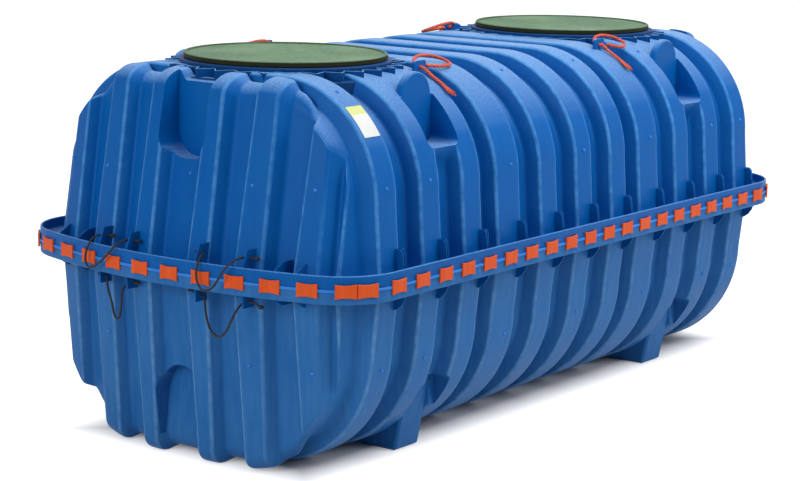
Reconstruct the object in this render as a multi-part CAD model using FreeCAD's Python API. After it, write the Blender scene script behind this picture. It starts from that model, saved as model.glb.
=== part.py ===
import FreeCAD, Part
import math
import os

# Horizontal water tank: two ribbed moulded halves clipped together at a flanged seam.
# Frame: X along the tank, Y across it, Z up, origin on the ground under the centre. Millimetres.

# Overall sizes
tank_length = 3226.0
tank_width = 1580.0
tank_height = 1389.0
seam_height = 690.0

# Wall and ribs
wall = 8.0
rib_depth = 60.0
rib_count = 11
crest_width = 112.0
flank_run = 19.0
broad_ribs = [3, 7]
broad_rib_extra = 38.0
arc_steps = 7
bow_steps = 12
corner_steps = 3

# Upper section: drafted wall, round shoulder, flat roof
upper_wall_draft = 20.0
shoulder_radius = 405.0
turret_rise = 14.0

# Lower section: drafted wall, round bilge down to a flat bottom
lower_wall_draft = 25.0
bilge_radius = 460.0

# Bowed and leaning ends, with a rolled edge at roof and bottom
end_length = 308.0
end_bow_radius = 2010.0
corner_radius = 180.0
end_ribs = [-560.0, -337.0, -130.0, 130.0, 337.0, 560.0]
end_crest_width = 100.0
end_rib_depth = 50.0
upper_end_lean = 0.167
lower_end_lean = 0.08
roof_roll_height = 60.0
roof_roll_depth = 110.0
bottom_roll_height = 55.0
bottom_roll_depth = 60.0

# Seam flange and clips
flange_reach = 57.0
flange_web = 9.0
lip_wall = 8.0
upper_lip = 51.0
lower_lip = 46.0
clip_thickness = 8.0
clip_width = 74.0
clip_height = 50.0
clip_bevel = 3.0
side_clip_count = 20
side_clip_overrun = 12.7
end_clip_count = 10
end_clip_pitch = 135.1
corner_clip_gap = 3.0

# Access turrets and lids
turret_inset = 697.0
turret_radius = 440.0
turret_bore = 300.0
turret_drop = 130.0
lid_radius = 367.5
lid_thickness = 20.0
lid_rim = 14.0
lid_dish = 5.0

# Feet under the lower half, counted in rib pitches from the middle
foot_rib = 3.5
foot_width = 140.0
foot_out = 532.0
foot_in = 330.0
foot_top_out = 625.0
foot_top = 250.0

# Pipe niches: flat-backed pockets in the shoulders and in the middle of each end
niche_drop = 250.0
niche_front_half = 67.0
niche_back_half = 150.0
niche_front = 700.0
niche_back = 460.0
end_niche_half = 118.0
end_niche_depth = 105.0
end_niche_drop = 260.0

# Rope fins in the flange channel of each end, and rope brackets on the shoulders
fin_thickness = 6.0
fin_rise = 106.0
fin_drop = 90.0
fin_places = [290.0, 146.0, -170.0, -360.0]
upper_hole_rise = 77.0
lower_hole_drop = 68.5
upper_hole_set = 22.0
lower_hole_set = 26.0
bracket_ribs = [-3, 2]
bracket_offsets = [48.0, 28.0]
bracket_y = -430.0
bracket_width = 70.0
bracket_thickness = 10.0
bracket_rise = 19.0
bracket_hole_drop = 3.0

# Ropes: diameters, and points along each rope's middle
black_rope = 8.0
orange_rope = 12.0
rope_sides = 4
rope_hole_sides = 8
rope_clearance = 1.0
left_handle_upper = [
    [-1535, 264, 766], [-1537, 302, 767], [-1576, 316, 765], [-1605, 323, 728], [-1609, 330, 684],
    [-1611, 311, 654], [-1615, 264, 674], [-1619, 220, 708], [-1615, 186, 746], [-1586, 166, 769],
    [-1553, 158, 768], [-1552, 126, 767],
]
left_handle_lower = [
    [-1544, 317, 623], [-1547, 276, 621], [-1580, 252, 610], [-1598, 226, 584], [-1602, 207, 552],
    [-1604, 197, 516], [-1604, 188, 494], [-1604, 172, 493], [-1604, 163, 514], [-1602, 160, 552],
    [-1594, 168, 592], [-1564, 160, 620], [-1561, 122, 622],
]
right_handle_upper = [
    [-1549, -146, 765], [-1551, -182, 766], [-1590, -196, 763], [-1619, -202, 728], [-1624, -208, 682],
    [-1624, -234, 650], [-1624, -276, 664], [-1622, -304, 702], [-1610, -324, 744], [-1570, -342, 770],
    [-1527, -350, 769], [-1525, -390, 768],
]
right_handle_lower = [
    [-1548, -113, 628], [-1560, -150, 622], [-1562, -190, 621], [-1586, -212, 598], [-1596, -228, 556],
    [-1600, -250, 514], [-1600, -286, 494], [-1598, -316, 516], [-1590, -334, 560], [-1572, -344, 600],
    [-1540, -350, 621], [-1536, -388, 622], [-1540, -422, 610],
]
left_loop = [
    [-680, -553, 1278], [-684, -518, 1303], [-688, -482, 1324], [-690, -450, 1350], [-689, -408, 1354],
    [-664, -384, 1372], [-620, -368, 1380], [-565, -358, 1379], [-512, -360, 1373], [-478, -380, 1360],
    [-476, -412, 1348], [-508, -434, 1344], [-556, -441, 1345], [-604, -438, 1347], [-644, -428, 1352],
]
right_loop = [
    [530, -553, 1278], [526, -518, 1303], [522, -482, 1324], [520, -450, 1350], [521, -408, 1354],
    [546, -392, 1372], [590, -386, 1380], [632, -392, 1378], [668, -404, 1370], [692, -426, 1358],
    [686, -454, 1345], [654, -466, 1335], [612, -462, 1338], [576, -442, 1346],
]

# Clearance between pieces that seat in one another
seat_gap = 0.3

side_half = tank_width / 2 - clip_thickness - flange_reach
end_half = tank_length / 2 - clip_thickness - flange_reach
bow_centre = end_half - end_bow_radius
corner_y = side_half - corner_radius
corner_x = bow_centre + math.sqrt((end_bow_radius - corner_radius) ** 2 - corner_y ** 2)
corner_turn = math.atan2(corner_y, corner_x - bow_centre)
shoulder_y = side_half - upper_wall_draft
lid_seat = tank_height - lid_thickness
roof_height = lid_seat - turret_rise
shoulder_z = roof_height - shoulder_radius
bilge_y = side_half - lower_wall_draft
bilge_z = bilge_radius
skin = rib_depth + wall
end_skin = end_rib_depth + wall
barrel_half = tank_length / 2 - end_length
rib_pitch = (2 * barrel_half - crest_width - 2 * flank_run) / (rib_count - 1)
side_clip_pitch = (2 * (corner_x + side_clip_overrun) - clip_width) / (side_clip_count - 1)
turret_spacing = tank_length - 2 * turret_inset
foot_place = foot_rib * rib_pitch
niche_floor = roof_height - niche_drop
end_niche_floor = roof_height - end_niche_drop
upper_hole_height = seam_height + upper_hole_rise
lower_hole_height = seam_height - lower_hole_drop
bracket_places = [rib * rib_pitch + offset for rib, offset in zip(bracket_ribs, bracket_offsets)]
bracket_top = roof_height + bracket_rise
bracket_hole = roof_height - bracket_hole_drop
clear = 2 * tank_length


def vec(x, y, z):
    return FreeCAD.Vector(x, y, z)


def line(a, b):
    return Part.makeLine(a, b)


def arc(a, b, c):
    return Part.Arc(a, b, c).toShape()


def box(x0, y0, z0, x1, y1, z1):
    return Part.makeBox(x1 - x0, y1 - y0, z1 - z0, vec(x0, y0, z0))


def mirrored_x(shape):
    return shape.mirror(vec(0, 0, 0), vec(1, 0, 0))


def mirrored_y(shape):
    return shape.mirror(vec(0, 0, 0), vec(0, 1, 0))


def closed_arch(x, near):
    # Section across the tank from its near half: seam, wall, rounded corner and flat, then mirrored.
    points = [vec(x, -y, z) for y, z in near]
    points = points + [vec(x, y, z) for y, z in reversed(near)]
    return Part.makePolygon(points + [points[0]])


def upper_arch(x, inset):
    # Section above the seam, set in from the rib crests.
    radius = shoulder_radius - inset
    centre_y = shoulder_y - shoulder_radius
    near = [(side_half - inset, seam_height)]
    for step in range(arc_steps + 1):
        turn = math.pi / 2 * step / arc_steps
        near.append((centre_y + radius * math.cos(turn), shoulder_z + radius * math.sin(turn)))
    return closed_arch(x, near)


def lower_arch(x, inset):
    # Section below the seam, set in from the rib crests.
    radius = bilge_radius - inset
    centre_y = bilge_y - bilge_radius
    near = [(side_half - inset, seam_height)]
    for step in range(arc_steps + 1):
        turn = math.pi / 2 * step / arc_steps
        near.append((centre_y + radius * math.cos(turn), bilge_z - radius * math.sin(turn)))
    return closed_arch(x, near)


def flat_loft(wires):
    # Ruled loft between outlines with parallel edges, each of its faces made a true plane.
    faces = []
    for face in Part.makeLoft(wires, True, True).Faces:
        corners = [vertex.Point for vertex in face.OuterWire.OrderedVertexes]
        faces.append(Part.Face(Part.makePolygon(corners + [corners[0]])))
    shell = Part.Shell(faces)
    shell.sewShape()
    return Part.Solid(shell)


def ribbed_barrel(arch):
    # Corrugated length of one half: crest and valley sections lofted in turn along X.
    stations = []
    for index in range(rib_count):
        middle = (index - (rib_count - 1) / 2) * rib_pitch
        start = middle - crest_width / 2
        if index in broad_ribs:
            start = start - broad_rib_extra
        stations.append(arch(start - flank_run, rib_depth))
        stations.append(arch(start, 0))
        stations.append(arch(middle + crest_width / 2, 0))
        stations.append(arch(middle + crest_width / 2 + flank_run, rib_depth))
    return flat_loft(stations)


def section_bar(arch, inset, x0, x1):
    # Plain length of one half's section.
    return Part.Face(arch(x0, inset)).extrude(vec(x1 - x0, 0, 0))


def plan_wire(grow, z):
    # Outline seen from above at the rib crests, grown outwards: straight sides, round corners, bowed ends.
    radius = corner_radius + grow
    bow = end_bow_radius + grow
    side = side_half + grow
    tangent = vec(bow_centre + bow * math.cos(corner_turn), bow * math.sin(corner_turn), z)
    half_turn = (math.pi / 2 + corner_turn) / 2
    middle = vec(corner_x + radius * math.cos(half_turn), corner_y + radius * math.sin(half_turn), z)

    def place(point, sx, sy):
        return vec(point.x * sx, point.y * sy, z)

    straight = vec(corner_x, side, z)
    tip = vec(bow_centre + bow, 0, z)
    edges = []
    edges.append(line(place(straight, -1, 1), straight))
    edges.append(arc(straight, middle, tangent))
    edges.append(arc(tangent, tip, place(tangent, 1, -1)))
    edges.append(arc(place(tangent, 1, -1), place(middle, 1, -1), place(straight, 1, -1)))
    edges.append(line(place(straight, 1, -1), place(straight, -1, -1)))
    edges.append(arc(place(straight, -1, -1), place(middle, -1, -1), place(tangent, -1, -1)))
    edges.append(arc(place(tangent, -1, -1), place(tip, -1, 1), place(tangent, -1, 1)))
    edges.append(arc(place(tangent, -1, 1), place(middle, -1, 1), place(straight, -1, 1)))
    return Part.Wire(edges)


def plan_prism(grow, z0, z1):
    return Part.Face(plan_wire(grow, z0)).extrude(vec(0, 0, z1 - z0))


def plan_polygon(grow, z, shift):
    # The same outline in short chords, both ends drawn in along the tank by the shift.
    right = []
    for step in range(corner_steps):
        turn = math.pi / 2 + (corner_turn - math.pi / 2) * step / corner_steps
        reach = corner_radius + grow
        right.append((corner_x - shift + reach * math.cos(turn), corner_y + reach * math.sin(turn)))
    for step in range(bow_steps // 2 + 1):
        turn = corner_turn * (1 - 2 * step / bow_steps)
        reach = end_bow_radius + grow
        right.append((bow_centre - shift + reach * math.cos(turn), reach * math.sin(turn)))
    right = right + [(x, -y) for x, y in reversed(right[:-1])]
    left = [(-x, y) for x, y in reversed(right)]
    points = [vec(x, y, z) for x, y in right + left]
    return Part.makePolygon(points + [points[0]])


def end_shift(z):
    # How far an end leans in at one height.
    if z >= seam_height:
        return upper_end_lean * (z - seam_height)
    return lower_end_lean * (seam_height - z)


def end_stations(z_far):
    # Heights and shifts up or down an end, the last ones over its rolled edge.
    direction = math.copysign(1.0, z_far - seam_height)
    height = roof_roll_height if direction > 0 else bottom_roll_height
    depth = roof_roll_depth if direction > 0 else bottom_roll_depth
    start = z_far - direction * height
    stations = [(seam_height, 0.0)]
    for turn in (0.0, math.pi / 4, math.pi / 2):
        shift = end_shift(start) + depth * (1 - math.cos(turn))
        stations.append((start + direction * height * math.sin(turn), shift))
    return stations


def plan_lean(grow, z_far):
    # The plan lofted up or down one half, its ends leaning in and rolled over.
    return flat_loft([plan_polygon(grow, z, shift) for z, shift in end_stations(z_far)])


def rib_slab(middle, z_far):
    # Tapered slab that keeps one rib of an end, from well inside the wall to beyond it.
    inner = end_crest_width / 2 + flank_run
    outer = end_crest_width / 2
    face = bow_centre + math.sqrt(end_bow_radius ** 2 - middle ** 2)

    def outline(z, shift):
        x_in = barrel_half
        x_mid = face - shift - end_rib_depth
        x_out = face - shift
        return Part.makePolygon([
            vec(x_in, middle - inner, z),
            vec(x_mid, middle - inner, z),
            vec(x_out, middle - outer, z),
            vec(x_out + skin, middle - outer, z),
            vec(x_out + skin, middle + outer, z),
            vec(x_out, middle + outer, z),
            vec(x_mid, middle + inner, z),
            vec(x_in, middle + inner, z),
            vec(x_in, middle - inner, z),
        ])

    return flat_loft([outline(seam_height, 0.0), outline(z_far, end_shift(z_far))])


def end_body(arch, inset, z_far):
    # Right end of one half: its section cut to the bowed and leaning plan.
    bar = section_bar(arch, inset, barrel_half - crest_width, tank_length / 2)
    return bar.common(plan_lean(-inset, z_far))


def ribbed_end(arch, z_far):
    valley = end_body(arch, end_rib_depth, z_far)
    crest = end_body(arch, 0, z_far)
    for middle in end_ribs:
        valley = valley.fuse(crest.common(rib_slab(middle, z_far)))
    return valley


def half_solid(arch, z_far, lip):
    # One moulded half with its flange, before it is cut into panels.
    direction = math.copysign(1.0, z_far - seam_height)
    right = ribbed_end(arch, z_far)
    outer = ribbed_barrel(arch).fuse([right, mirrored_x(right)])
    web = plan_prism(flange_reach, seam_height, seam_height + direction * flange_web)
    rim = plan_prism(flange_reach, seam_height, seam_height + direction * lip)
    rim = rim.cut(plan_prism(flange_reach - lip_wall, seam_height, seam_height + direction * lip))
    outer = outer.fuse([web, rim])
    core = section_bar(arch, skin, -tank_length / 2, tank_length / 2)
    core = core.common(plan_lean(-end_skin, z_far))
    return outer, core


def save(shape, name):
    # Faces that lie in one surface are joined before a piece is written.
    shape = shape.removeSplitter()
    shape.exportStep("parts/" + name + ".step")
    volume = round(shape.Volume / 1e6, 2)
    print(name, "solids", len(shape.Solids), "volume", volume, "valid", shape.isValid())


os.makedirs("parts", exist_ok=True)

upper, upper_core = half_solid(upper_arch, roof_height, upper_lip)
lower, lower_core = half_solid(lower_arch, 0.0, lower_lip)


def foot():
    points = [
        vec(foot_place - foot_width / 2, -foot_in, 0),
        vec(foot_place - foot_width / 2, -foot_out, 0),
        vec(foot_place - foot_width / 2, -foot_top_out, foot_top),
        vec(foot_place - foot_width / 2, -foot_in, foot_top),
        vec(foot_place - foot_width / 2, -foot_in, 0),
    ]
    return Part.Face(Part.makePolygon(points)).extrude(vec(foot_width, 0, 0))


near_right_foot = foot()
near_feet = [near_right_foot, mirrored_x(near_right_foot)]
far_feet = [mirrored_y(shape) for shape in near_feet]
lower = lower.fuse(near_feet + far_feet)

upper_shell = upper.cut(upper_core)
lower_shell = lower.cut(lower_core)


def niche_prism(grow, z0):
    # Plan of a shoulder niche on the near side, wider at its back, carried up past the roof.
    points = [
        vec(foot_place - niche_front_half - grow, -niche_front, z0),
        vec(foot_place + niche_front_half + grow, -niche_front, z0),
        vec(foot_place + niche_back_half + grow, -niche_back + grow, z0),
        vec(foot_place - niche_back_half - grow, -niche_back + grow, z0),
        vec(foot_place - niche_front_half - grow, -niche_front, z0),
    ]
    return Part.Face(Part.makePolygon(points)).extrude(vec(0, 0, tank_height - z0))


def end_niche_box(grow, z0):
    back = end_half - end_shift(end_niche_floor) - end_niche_depth
    half = end_niche_half + grow
    return box(back - grow, -half, z0, tank_length / 2, half, tank_height)


# Niches: a housing inside the wall, then the pocket cut out of it
crest_bar = section_bar(upper_arch, 0, -barrel_half, barrel_half)
side_housing = niche_prism(wall, niche_floor - wall).common(crest_bar)
side_pocket = niche_prism(0, niche_floor)
end_housing = end_niche_box(wall, end_niche_floor - wall).common(ribbed_end(upper_arch, roof_height))
end_pocket = end_niche_box(0, end_niche_floor)
housings = [end_housing, mirrored_x(end_housing)]
pockets = [end_pocket, mirrored_x(end_pocket)]
for shape, group in ((side_housing, housings), (side_pocket, pockets)):
    group.append(shape)
    group.append(mirrored_x(shape))
    group.append(mirrored_y(shape))
    group.append(mirrored_x(mirrored_y(shape)))
upper_shell = upper_shell.fuse(housings).cut(Part.makeCompound(pockets))


def turned(shape):
    # The same shape at the opposite corner of the tank.
    return shape.rotated(vec(0, 0, 0), vec(0, 0, 1), 180)


def rope_hole(x, y, z, diameter, depth):
    # Hole of few sides across a plate, clear of its rope all round.
    reach = (diameter / 2 + rope_clearance) / math.cos(math.pi / rope_hole_sides)
    points = []
    for step in range(rope_hole_sides + 1):
        turn = 2 * math.pi * (step + 0.5) / rope_hole_sides
        points.append(vec(x + reach * math.cos(turn), y - depth, z + reach * math.sin(turn)))
    return Part.Face(Part.makePolygon(points)).extrude(vec(0, 2 * depth, 0))


def end_fin(y, direction):
    # Upright plate across the flange channel of the left end, with a hole for a rope.
    reach = fin_rise if direction > 0 else fin_drop
    base = seam_height + direction * flange_web
    tip = seam_height + direction * reach
    lip = seam_height + direction * (upper_lip if direction > 0 else lower_lip)
    hole_set = upper_hole_set if direction > 0 else lower_hole_set
    hole_z = upper_hole_height if direction > 0 else lower_hole_height
    face = bow_centre + math.sqrt(end_bow_radius ** 2 - y ** 2)
    rim = bow_centre + math.sqrt((end_bow_radius + flange_reach - lip_wall) ** 2 - y ** 2)
    inside = face - end_rib_depth - end_shift(tip)
    points = [
        vec(-inside, y, base),
        vec(-rim, y, base),
        vec(-rim, y, lip),
        vec(-face - 2 * hole_set + end_shift(tip), y, tip),
        vec(-inside, y, tip),
        vec(-inside, y, base),
    ]
    plate = Part.Face(Part.makePolygon(points)).extrude(vec(0, fin_thickness, 0))
    plate.translate(vec(0, -fin_thickness / 2, 0))
    hole_x = face - end_shift(hole_z) + hole_set
    return plate.cut(rope_hole(-hole_x, y, hole_z, black_rope, fin_thickness))


upper_fins = [end_fin(y, 1) for y in fin_places]
lower_fins = [end_fin(y, -1) for y in fin_places]
upper_fins = upper_fins + [turned(fin) for fin in upper_fins]
lower_fins = lower_fins + [turned(fin) for fin in lower_fins]


def bracket(x):
    # Plate on the near shoulder with a hole for an orange rope.
    half = bracket_width / 2
    front = bracket_y - bracket_thickness / 2
    back = bracket_y + bracket_thickness / 2
    plate = box(x - half, front, roof_height - rib_depth, x + half, back, bracket_top)
    return plate.cut(rope_hole(x, bracket_y, bracket_hole, orange_rope, bracket_thickness))


brackets = [bracket(x) for x in bracket_places]
brackets = brackets + [turned(plate) for plate in brackets]
upper_shell = upper_shell.fuse(upper_fins + brackets)
lower_shell = lower_shell.fuse(lower_fins)


def turret_cylinder(side, radius, z0, z1):
    return Part.makeCylinder(radius, z1 - z0, vec(side * turret_spacing / 2, 0, z0))


turret_floor = roof_height - turret_drop
for side in (-1, 1):
    seat = turret_cylinder(side, turret_radius + seat_gap, turret_floor, tank_height)
    upper_shell = upper_shell.cut(seat)

# Panels of the upper half
roof_half = shoulder_y - shoulder_radius
end_cut = barrel_half
panels = {
    "upper_near_side": box(-end_cut, -clear, seam_height, end_cut, 0, shoulder_z),
    "upper_far_side": box(-end_cut, 0, seam_height, end_cut, clear, shoulder_z),
    "upper_near_shoulder": box(-end_cut, -clear, shoulder_z, end_cut, -roof_half, clear),
    "upper_far_shoulder": box(-end_cut, roof_half, shoulder_z, end_cut, clear, clear),
    "upper_roof": box(-end_cut, -roof_half, shoulder_z, end_cut, roof_half, clear),
}
for name, region in panels.items():
    save(upper_shell.common(region), name)
upper_end = upper_shell.common(box(end_cut, -clear, seam_height, clear, clear, clear))
save(upper_end, "upper_right_end")
save(turned(upper_end), "upper_left_end")

# Panels of the lower half
floor_half = bilge_y - bilge_radius
panels = {
    "lower_near_side": box(-end_cut, -clear, -clear, end_cut, -floor_half, seam_height),
    "lower_far_side": box(-end_cut, floor_half, -clear, end_cut, clear, seam_height),
    "lower_floor": box(-end_cut, -floor_half, -clear, end_cut, floor_half, seam_height),
}
for name, region in panels.items():
    save(lower_shell.common(region), name)
lower_end = lower_shell.common(box(end_cut, -clear, -clear, clear, clear, seam_height))
save(lower_end, "lower_right_end")
save(turned(lower_end), "lower_left_end")

# Turrets and their lids
for side, name in ((-1, "left"), (1, "right")):
    turret = turret_cylinder(side, turret_radius, turret_floor, lid_seat)
    turret = turret.cut(turret_cylinder(side, turret_bore, turret_floor, lid_seat))
    save(turret, name + "_turret")
    lid = turret_cylinder(side, lid_radius, lid_seat, tank_height)
    dish = turret_cylinder(side, lid_radius - lid_rim, tank_height - lid_dish, tank_height)
    save(lid.cut(dish), name + "_lid")


def clip_bar(middle_x, face_y):
    # Clip on the near long side: a bevelled plate against the flange face.
    low = seam_height - clip_height / 2
    high = seam_height + clip_height / 2
    outer = face_y - clip_thickness
    points = [
        vec(middle_x - clip_width / 2, face_y, low),
        vec(middle_x - clip_width / 2, outer + clip_bevel, low),
        vec(middle_x - clip_width / 2, outer, low + clip_bevel),
        vec(middle_x - clip_width / 2, outer, high - clip_bevel),
        vec(middle_x - clip_width / 2, outer + clip_bevel, high),
        vec(middle_x - clip_width / 2, face_y, high),
        vec(middle_x - clip_width / 2, face_y, low),
    ]
    return Part.Face(Part.makePolygon(points)).extrude(vec(clip_width, 0, 0))


def clip_sector(centre_x, centre_y, radius, angle):
    # Clip on a rounded stretch of the flange: the same section turned about the stretch's own centre.
    low = seam_height - clip_height / 2
    high = seam_height + clip_height / 2
    outer = radius + clip_thickness
    points = [
        vec(radius, 0, low),
        vec(outer - clip_bevel, 0, low),
        vec(outer, 0, low + clip_bevel),
        vec(outer, 0, high - clip_bevel),
        vec(outer - clip_bevel, 0, high),
        vec(radius, 0, high),
        vec(radius, 0, low),
    ]
    spread = math.degrees(clip_width / outer)
    solid = Part.Face(Part.makePolygon(points)).revolve(vec(0, 0, 0), vec(0, 0, 1), spread)
    solid.rotate(vec(0, 0, 0), vec(0, 0, 1), math.degrees(angle) - spread / 2)
    solid.translate(vec(centre_x, centre_y, 0))
    return solid


near_clips = []
for index in range(side_clip_count):
    middle = (index - (side_clip_count - 1) / 2) * side_clip_pitch
    near_clips.append(clip_bar(middle, -side_half - flange_reach))
save(Part.makeCompound(near_clips), "near_side_clips")
save(Part.makeCompound([mirrored_y(clip) for clip in near_clips]), "far_side_clips")

right_clips = []
bow_face = end_bow_radius + flange_reach
for index in range(end_clip_count):
    turn = (index - (end_clip_count - 1) / 2) * end_clip_pitch / bow_face
    right_clips.append(clip_sector(bow_centre, 0, bow_face, turn))
save(Part.makeCompound(right_clips), "right_end_clips")
save(Part.makeCompound([mirrored_x(clip) for clip in right_clips]), "left_end_clips")

corner_clips = []
corner_face = corner_radius + flange_reach
corner_middle = (math.pi / 2 + corner_turn) / 2
for step in (-1, 1):
    turn = corner_middle + step * (clip_width + corner_clip_gap) / 2 / (corner_face + clip_thickness)
    clip = clip_sector(corner_x, corner_y, corner_face, turn)
    corner_clips.append(clip)
    corner_clips.append(mirrored_x(clip))
    corner_clips.append(mirrored_y(clip))
    corner_clips.append(mirrored_x(mirrored_y(clip)))
save(Part.makeCompound(corner_clips), "corner_clips")


def rope(points, diameter, name):
    # Tube of few sides along straight runs joined by arcs as large as the runs allow.
    route = [vec(*point) for point in points]
    edges = []
    radii = []
    length = 0.0
    last = route[0]
    for before, corner, after in zip(route, route[1:], route[2:]):
        back = (before - corner).normalize()
        on = (after - corner).normalize()
        half_turn = (math.pi - back.getAngle(on)) / 2
        reach = 0.45 * min(before.distanceToPoint(corner), after.distanceToPoint(corner))
        radius = reach / math.tan(half_turn)
        start = corner + back * reach
        finish = corner + on * reach
        inward = (back + on).normalize()
        middle = corner + inward * (radius / math.cos(half_turn) - radius)
        edges.append(line(last, start))
        edges.append(arc(start, middle, finish))
        radii.append(radius)
        length = length + last.distanceToPoint(start) + radius * 2 * half_turn
        last = finish
    edges.append(line(last, route[-1]))
    length = length + last.distanceToPoint(route[-1])
    ahead = (route[1] - route[0]).normalize()
    across = ahead.cross(vec(0, 0, 1)).normalize()
    up = across.cross(ahead)
    ring = []
    for step in range(rope_sides + 1):
        turn = 2 * math.pi * step / rope_sides
        ring.append(route[0] + (across * math.cos(turn) + up * math.sin(turn)) * (diameter / 2))
    section = Part.makePolygon(ring)
    tube = Part.Wire(edges).makePipeShell([section], True, False)
    print(name, "length", round(length, 1), "least radius", round(min(radii), 1))
    print(name, "radii", [round(radius) for radius in radii])
    print(name, "volume ratio", round(tube.Volume / (Part.Face(section).Area * length), 4))
    return tube


save(rope(left_handle_upper, black_rope, "left handle upper"), "black_rope_left_upper")
save(rope(left_handle_lower, black_rope, "left handle lower"), "black_rope_left_lower")
save(rope(right_handle_upper, black_rope, "right handle upper"), "black_rope_right_upper")
save(rope(right_handle_lower, black_rope, "right handle lower"), "black_rope_right_lower")
near_left = rope(left_loop, orange_rope, "left loop")
near_right = rope(right_loop, orange_rope, "right loop")
save(near_left, "orange_rope_near_left")
save(near_right, "orange_rope_near_right")
save(turned(near_left), "orange_rope_far_right")
save(turned(near_right), "orange_rope_far_left")
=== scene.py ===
import bmesh
import bpy
from math import acos, asin, atan2, copysign, cos, pi, radians, sin, sqrt, tan, tau
from mathutils import Matrix, Vector


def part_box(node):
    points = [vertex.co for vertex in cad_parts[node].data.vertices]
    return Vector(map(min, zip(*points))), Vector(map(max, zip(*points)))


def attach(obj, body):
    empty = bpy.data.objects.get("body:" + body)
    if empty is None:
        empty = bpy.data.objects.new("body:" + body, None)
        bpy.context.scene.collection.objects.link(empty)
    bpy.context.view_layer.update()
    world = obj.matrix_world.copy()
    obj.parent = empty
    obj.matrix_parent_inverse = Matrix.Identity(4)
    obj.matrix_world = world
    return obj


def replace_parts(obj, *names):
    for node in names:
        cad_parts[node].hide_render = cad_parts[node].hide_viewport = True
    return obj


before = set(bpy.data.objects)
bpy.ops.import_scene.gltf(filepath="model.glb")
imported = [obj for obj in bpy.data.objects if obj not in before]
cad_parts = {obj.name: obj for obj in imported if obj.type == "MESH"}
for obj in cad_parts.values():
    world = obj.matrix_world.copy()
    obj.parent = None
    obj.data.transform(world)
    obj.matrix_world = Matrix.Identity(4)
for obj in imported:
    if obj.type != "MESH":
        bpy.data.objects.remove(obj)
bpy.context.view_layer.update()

scene = bpy.context.scene
scene.view_settings.view_transform = "Standard"

# sizes taken from the CAD frame, metres
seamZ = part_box("upper_near_side")[0][2]
flangeY = -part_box("near_side_clips")[1][1]
flangeX = 1.605  # at the bow, without clips
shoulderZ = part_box("upper_near_shoulder")[0][2]
lidLow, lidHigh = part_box("right_lid")
lidRadius = (lidHigh[1] - lidLow[1]) / 2
turretX = (lidHigh[0] + lidLow[0]) / 2
lidSeat = lidLow[2]
lidTop = lidHigh[2]
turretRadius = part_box("right_turret")[1][1]
quarters = [(sx, sy) for sx in (-1, 1) for sy in (-1, 1)]
madePieces = []


def link(obj):
    scene.collection.objects.link(obj)
    return obj


def finishMesh(bm, name, material, smooth=True, slot="blue_moulding", sharp=None):
    if slot:
        bmesh.ops.recalc_face_normals(bm, faces=bm.faces)
    mesh = bpy.data.meshes.new(name)
    bm.to_mesh(mesh)
    bm.free()
    for face in mesh.polygons:
        face.use_smooth = smooth
    if sharp:
        mesh.set_sharp_from_angle(angle=sharp)
    mesh.materials.append(material)
    obj = link(bpy.data.objects.new(name, mesh))
    if slot:
        madePieces.append(obj)
        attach(obj, "root")
    return obj


def smoothStep(low, high, value):
    share = max(0.0, min(1.0, (value - low) / (high - low)))
    return share * share * (3 - 2 * share)


def spread(low, high, steps):
    return [low + (high - low) * i / steps for i in range(steps + 1)]


def evenly(count, pitch):
    return [(i - (count - 1) / 2) * pitch for i in range(count)]


def wrapGrid(bm, columns, rows, place):
    # a flat sheet of quads, each corner then set where the moulding has it
    made = bmesh.ops.create_grid(bm, x_segments=columns - 1, y_segments=rows - 1, size=0.5)
    for vert in made["verts"]:
        i = round((vert.co.x + 0.5) * (columns - 1))
        j = round((vert.co.y + 0.5) * (rows - 1))
        vert.co = place(i, j)
    return made["verts"]


def thicken(bm, faces, vector, keep):
    made = bmesh.ops.extrude_face_region(bm, geom=faces, use_keep_orig=keep)
    moved = [item for item in made["geom"] if isinstance(item, bmesh.types.BMVert)]
    bmesh.ops.translate(bm, verts=moved, vec=vector)
    return moved


def closedLoop(bm, verts):
    return [bm.edges.new((verts[i], verts[(i + 1) % len(verts)])) for i in range(len(verts))]


def plate(bm, outline, across, thickness, width=0.0012):
    # a flat plate from its outline, thickened both ways along one axis
    verts = [bm.verts.new(Vector(point) - across * (thickness / 2)) for point in outline]
    moved = thicken(bm, [bm.faces.new(verts)], across * thickness, False)
    edges = list({edge for vert in moved + verts for edge in vert.link_edges})
    bmesh.ops.recalc_face_normals(bm, faces=list({f for vert in moved + verts for f in vert.link_faces}))
    bmesh.ops.bevel(bm, geom=edges, offset=width, segments=1, profile=0.5, affect="EDGES", material=-1)


def newGroup(name, outputs):
    # a place goes in, the named masks or heights come out
    group = bpy.data.node_groups.new(name, "ShaderNodeTree")
    group.interface.new_socket(name="Vector", in_out="INPUT", socket_type="NodeSocketVector")
    for label in outputs:
        group.interface.new_socket(name=label, in_out="OUTPUT", socket_type="NodeSocketFloat")
    source = group.nodes.new("NodeGroupInput")
    return group, source.outputs["Vector"], group.nodes.new("NodeGroupOutput")


def feed(tree, node, inputs):
    # numbers and colours are set on the sockets, other nodes' outputs are linked to them
    for label, value in inputs.items():
        if isinstance(value, (int, float, tuple)):
            node.inputs[label].default_value = value
        else:
            tree.links.new(value, node.inputs[label])


def newNode(tree, kind, inputs, **settings):
    node = tree.nodes.new("ShaderNode" + kind)
    for key, value in settings.items():
        setattr(node, key, value)
    feed(tree, node, inputs)
    return node


def noiseNode(tree, vector, scale, detail=4, rough=0.5, stretch=None):
    if stretch:
        vector = newNode(tree, "Mapping", {"Vector": vector, "Scale": stretch}).outputs["Vector"]
    inputs = {"Vector": vector, "Scale": scale, "Detail": detail, "Roughness": rough}
    return newNode(tree, "TexNoise", inputs).outputs["Fac"]


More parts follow.
